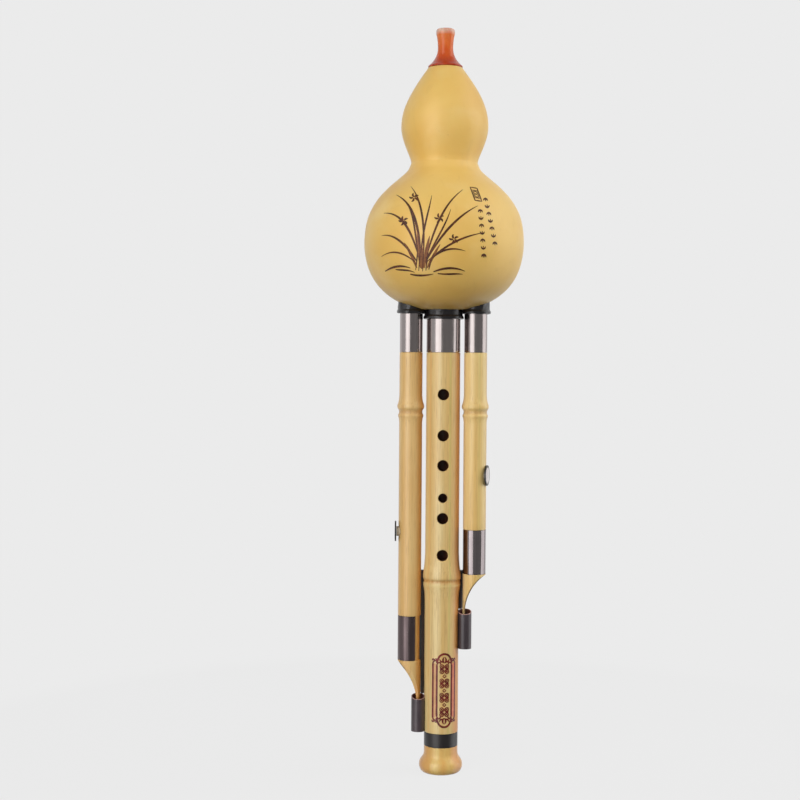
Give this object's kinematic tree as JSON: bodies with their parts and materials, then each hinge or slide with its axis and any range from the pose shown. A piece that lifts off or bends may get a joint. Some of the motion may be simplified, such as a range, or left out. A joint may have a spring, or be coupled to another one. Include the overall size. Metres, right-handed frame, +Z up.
{
  "type": "hulusi",
  "caption": "Free-reed wind instrument: a carved gourd wind chamber with a mouthpiece over a bamboo melody pipe and a drone pipe on each side.",
  "frame": {"origin": "centre of the bell's open end, on its flat face", "axes": "+Z up along the melody pipe to the mouthpiece, -Y the side of the finger holes, +X the side of the short drone"},
  "size_m": [0.08, 0.08, 0.3708],
  "materials": {
    "bamboo": "satin, fine lengthwise grain",
    "lacquered_bamboo": "glossy lacquer",
    "gourd_skin": "satin dried gourd skin",
    "amber_resin": "polished",
    "mirror_steel": "mirror polish",
    "dark_metal": "dark brown satin",
    "dark_chrome": "dark polish",
    "rubber": "black, shiny where wet moulded",
    "black_horn": "black satin",
    "bronze": "bare sheet",
    "bone": "matt",
    "pearl": "pale pearl"
  },
  "bodies": {
    "melody_pipe": {"main_pipe": "bamboo", "bell": "lacquered_bamboo", "bell_ring": "black_horn", "left_tail_tube": "black_horn", "right_tail_tube": "black_horn", "left_strip": "black_horn", "right_strip": "black_horn", "main_reed_tube": "bone", "main_reed": "bronze", "main_reed_plug": "bone", "main_tenon_ring_1": "rubber", "main_tenon_ring_2": "rubber"},
    "wind_chamber": {"gourd": "gourd_skin", "mouthpiece": "amber_resin", "main_collar": "rubber", "left_collar": "rubber", "right_collar": "rubber", "main_ferrule": "mirror_steel", "left_ferrule": "mirror_steel", "right_ferrule": "mirror_steel"},
    "left_drone_pipe": {"left_drone": "bamboo", "left_reed_tube": "bone", "left_reed": "bronze", "left_reed_plug": "bone", "left_tenon_ring_1": "rubber", "left_tenon_ring_2": "rubber"},
    "right_drone_pipe": {"right_drone": "bamboo", "right_reed_tube": "bone", "right_reed": "bronze", "right_reed_plug": "bone", "right_tenon_ring_1": "rubber", "right_tenon_ring_2": "rubber"},
    "left_switch": {"left_shutter": "dark_metal"},
    "right_switch": {"right_shutter": "dark_chrome"},
    "left_stopper": {"left_stopper_cap": "black_horn", "left_stopper_plug": "bone", "left_stopper_inlay": "pearl"},
    "right_stopper": {"right_stopper_cap": "black_horn", "right_stopper_plug": "bone", "right_stopper_inlay": "pearl"}
  },
  "joints": [
    {"name": "chamber_pull", "type": "slide", "parent": "melody_pipe", "child": "wind_chamber", "axis": [0, 0, 1], "range_m": [0, 0.062]},
    {"name": "left_drone_tuning", "type": "slide", "parent": "wind_chamber", "child": "left_drone_pipe", "axis": [0, 0, -1], "range_m": [0, 0.0025]},
    {"name": "right_drone_tuning", "type": "slide", "parent": "wind_chamber", "child": "right_drone_pipe", "axis": [0, 0, -1], "range_m": [0, 0.0025]},
    {"name": "left_switch_turn", "type": "hinge", "parent": "left_drone_pipe", "child": "left_switch", "pos_m": [-0.0161, 0, 0.0669], "axis": [0, 0, 1], "continuous": true},
    {"name": "right_switch_turn", "type": "hinge", "parent": "right_drone_pipe", "child": "right_switch", "pos_m": [0.0161, 0, 0.1099], "axis": [0, 0, 1], "continuous": true},
    {"name": "left_stopper_pull", "type": "slide", "parent": "left_drone_pipe", "child": "left_stopper", "axis": [-1, 0, 0], "range_m": [-0.001, 0.005]},
    {"name": "right_stopper_pull", "type": "slide", "parent": "right_drone_pipe", "child": "right_stopper", "axis": [0.9641, -0.2656, 0], "range_m": [0, 0.006]}
  ]
}
